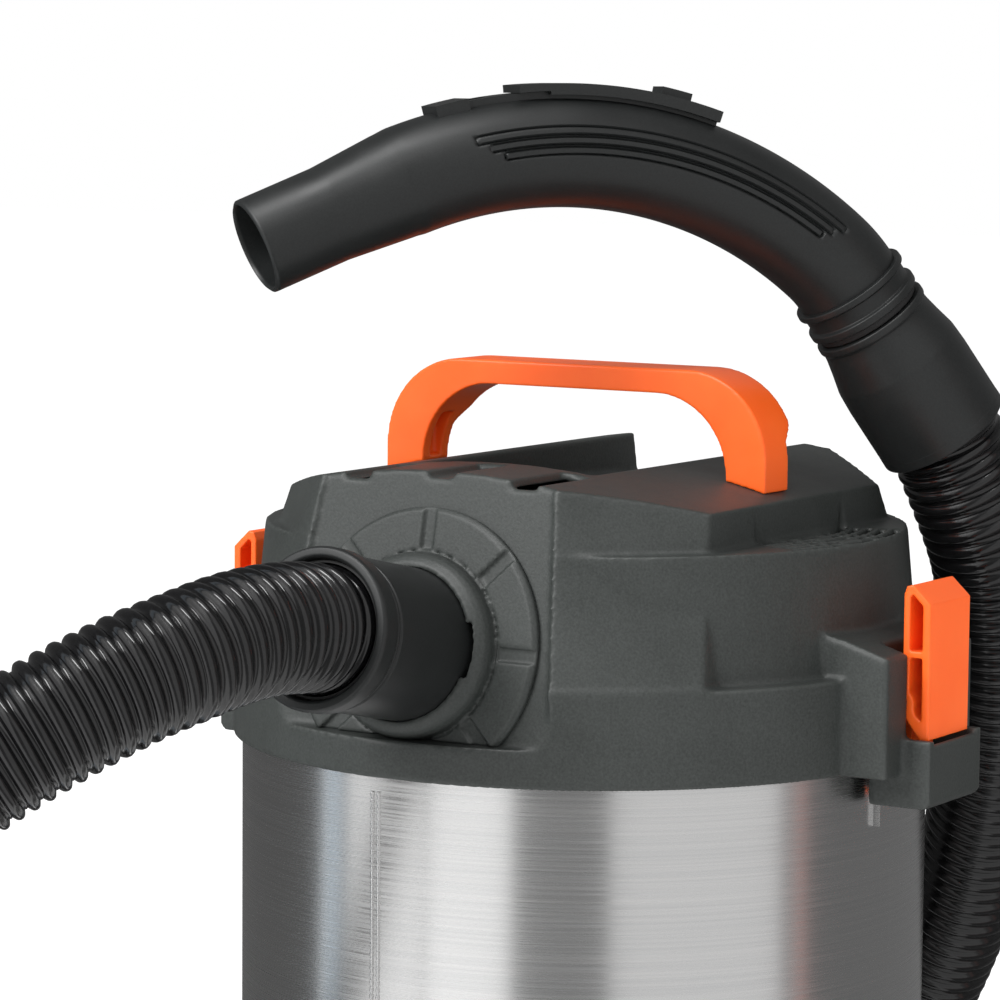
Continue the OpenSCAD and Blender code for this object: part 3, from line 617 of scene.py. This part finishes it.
def make_cuffs():
    end_axis = wand_axis(1) - wand_axis(0)
    cuff = lathe("wand_hose_cuff", rounded([
        (16.1, 0.6), (17.9, 0.6), (17.95, 15.0), (22.4, 15.1), (22.5, 17.8), (21.7, 18.8),
        (22.0, 21.5), (23.2, 27.5), (24.9, 35.0), (25.35, 43.0), (25.4, 66.0), (25.45, 66.1),
        (25.5, 69.4), (25.1, 69.9), (24.0, 69.9), (23.5, 69.2), (23.4, 52.0),
        (19.6, 51.9), (16.1, 27.0)], 0.8), wand_axis(0), end_axis, BLACK)
    ring = lathe("wand_swivel_ring", rounded([
        (18.05, 12.4), (18.06, 12.3), (20.3, 12.3), (20.4, 14.7), (18.06, 14.7),
        (18.05, 14.6)], 0.4), wand_axis(0), end_axis, RUBBER)
    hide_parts("wand_cuff")
    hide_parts("swivel_ring")
    sleeve = lathe("port_hose_cuff", rounded([
        (20.1, -8.9), (26.6, -9.0), (27.0, -8.4), (27.0, 52.6), (26.3, 53.2), (26.3, 53.9),
        (27.0, 54.4), (27.0, 55.0), (26.3, 55.5), (26.3, 56.1), (27.6, 56.8), (28.35, 58.0),
        (28.4, 64.4), (27.7, 65.8), (25.2, 66.0), (24.3, 65.2), (24.0, 63.0), (24.0, 50.8),
        (20.1, 50.7)], 0.6), port_point(0), PORT_AXIS, BLACK)
    insert = lathe("port_hose_insert", rounded([
        (22.8, 51.1), (22.85, 51.0), (23.9, 51.0), (23.95, 62.9), (22.85, 63.0),
        (22.8, 62.9)], 0.4), port_point(0), PORT_AXIS, RUBBER)
    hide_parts("cuff_sleeve")
    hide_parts("cuff_insert")
    for piece, body in ((cuff, "head"), (ring, "head"), (sleeve, "port_cuff"),
                        (insert, "port_cuff")):
        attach(piece, body)


make_grip()
make_cuffs()

# ---------------------------------------------------------------- tank's weld

TANK_R, WELD_LOW, WELD_HIGH = 0.1286, 0.058, 0.278
WELD_ANGLES = (-94.35, -93.15)      # degrees round the tank, from +X
STITCH, BEAD_R, BEAD_SWELL = 0.0026, 0.00055, 0.0003


def make_weld():
    """Two fine beads down the tank's wall, beside each other, made of short stitches."""
    steps = 4
    for side, angle in zip(("left", "right"), WELD_ANGLES):
        a = math.radians(angle)
        foot = Vector((math.cos(a), math.sin(a), 0)) * (TANK_R - 0.0001)
        count = round((WELD_HIGH - WELD_LOW) / STITCH) * steps
        path = [foot + Vector((0, 0, WELD_LOW + (WELD_HIGH - WELD_LOW) * k / count))
                for k in range(count + 1)]

        def radius_at(i, turn):
            return BEAD_R + BEAD_SWELL * math.sin(math.pi * (i % steps) / steps)

        weld = swept_tube("tank_weld_" + side, path, radius_at, 10, STEEL)
        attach(weld, "tank")


make_weld()

# ---------------------------------------------------------------- stage and light


def plane(name, corners, material):
    mesh = bpy.data.meshes.new(name)
    mesh.from_pydata(corners, [], [(0, 1, 2, 3)])
    mesh.materials.append(material)
    obj = bpy.data.objects.new(name, mesh)
    bpy.context.collection.objects.link(obj)
    return obj


def make_stage():
    n = Nodes("studio_floor")
    n.set(Base_Color=(0.98, 0.98, 0.98, 1), Roughness=0.9, Specular_IOR_Level=0.0,
          Emission_Color=(1, 1, 1, 1), Emission_Strength=0.05)
    floor = plane("studio_floor", [(-12, -12, 0), (12, -12, 0), (12, 12, 0), (-12, 12, 0)],
                  n.material)
    world = bpy.data.worlds.new("studio")
    world.use_nodes = True
    world.node_tree.nodes["Background"].inputs["Color"].default_value = (1, 1, 1, 1)
    world.node_tree.nodes["Background"].inputs["Strength"].default_value = 1.0
    bpy.context.scene.world = world


def area_light(name, place, target, size, power):
    data = bpy.data.lights.new(name, "AREA")
    data.shape = "RECTANGLE"
    data.size, data.size_y = size
    data.energy = power
    light = bpy.data.objects.new(name, data)
    bpy.context.collection.objects.link(light)
    light.location = place
    light.rotation_euler = (Vector(target) - Vector(place)).to_track_quat("-Z", "Y").to_euler()


# Panels that only reflections see, as (from, to) degrees to the right of the camera's
# own direction, brightness and colour: they give the steel its upright bands.
PANELS = [
    (-180, -92, 0.09, (1, 1, 1)), (-91, -84, 0.75, (0.75, 0.88, 1)),
    (-84, -81, 0.2, (1, 1, 1)), (-81, -52, 0.92, (1, 1, 1)), (-52, -50, 0.35, (1, 1, 1)),
    (-50, -23, 1.08, (1, 1, 1)), (-23, 7, 0.22, (1, 1, 1)), (7, 63, 0.72, (1, 1, 1)),
    (63, 69, 0.3, (1, 1, 1)), (69, 73, 0.5, (1, 0.6, 0.55)), (73, 180, 0.14, (1, 1, 1))]
PANEL_NEAR, PANEL_FAR, PANEL_HIGH = 0.2, 1.25, 1.7
TOP_PANEL_HIGH = 2.2
KEY_PLACE, KEY_TARGET = (-0.9, -1.9, 1.9), (0, 0, 0.3)
KEY_SIZE, KEY_POWER = (1.2, 1.2), 62


def reflections_only(panel):
    panel.visible_camera = panel.visible_diffuse = panel.visible_shadow = False
    panel.visible_transmission = panel.visible_volume_scatter = False


def make_panels():
    for number, (start, end, bright, colour) in enumerate(PANELS):
        n = Nodes("panel_light_%d" % number)
        n.set(Base_Color=(0, 0, 0, 1), Emission_Color=(*colour, 1), Emission_Strength=bright)
        steps = max(1, round((end - start) / 10))
        verts, faces = [], []
        for k in range(steps + 1):
            a = math.radians(CAMERA_AZIMUTH - 90 + start + (end - start) * k / steps)
            for r, z in ((PANEL_NEAR, 0.002), (PANEL_FAR, 0.002), (PANEL_FAR, PANEL_HIGH),
                         (0.55, 2.3)):
                verts.append((r * math.cos(a), r * math.sin(a), z))
        for k in range(steps):
            for i in range(3):
                v = 4 * k + i
                faces.append((v, v + 1, v + 5, v + 4))
        mesh = bpy.data.meshes.new("panel_%d" % number)
        mesh.from_pydata(verts, [], faces)
        mesh.materials.append(n.material)
        panel = bpy.data.objects.new("panel_%d" % number, mesh)
        bpy.context.collection.objects.link(panel)
        reflections_only(panel)


def make_top_panel():
    """A bright overhead panel that only reflections see: it lights the hose's ridges."""
    n = Nodes("panel_light_top")
    n.set(Base_Color=(0, 0, 0, 1), Emission_Color=(1, 1, 1, 1), Emission_Strength=13.0)
    corners = [(-0.35, -1.0), (0.7, -1.0), (0.7, -0.3), (-0.35, -0.3)]
    panel = plane("panel_top", [(x, y, TOP_PANEL_HIGH) for x, y in corners], n.material)
    reflections_only(panel)


make_stage()
make_panels()
make_top_panel()
area_light("key", KEY_PLACE, KEY_TARGET, KEY_SIZE, KEY_POWER)
bpy.context.scene.view_settings.view_transform = "Standard"
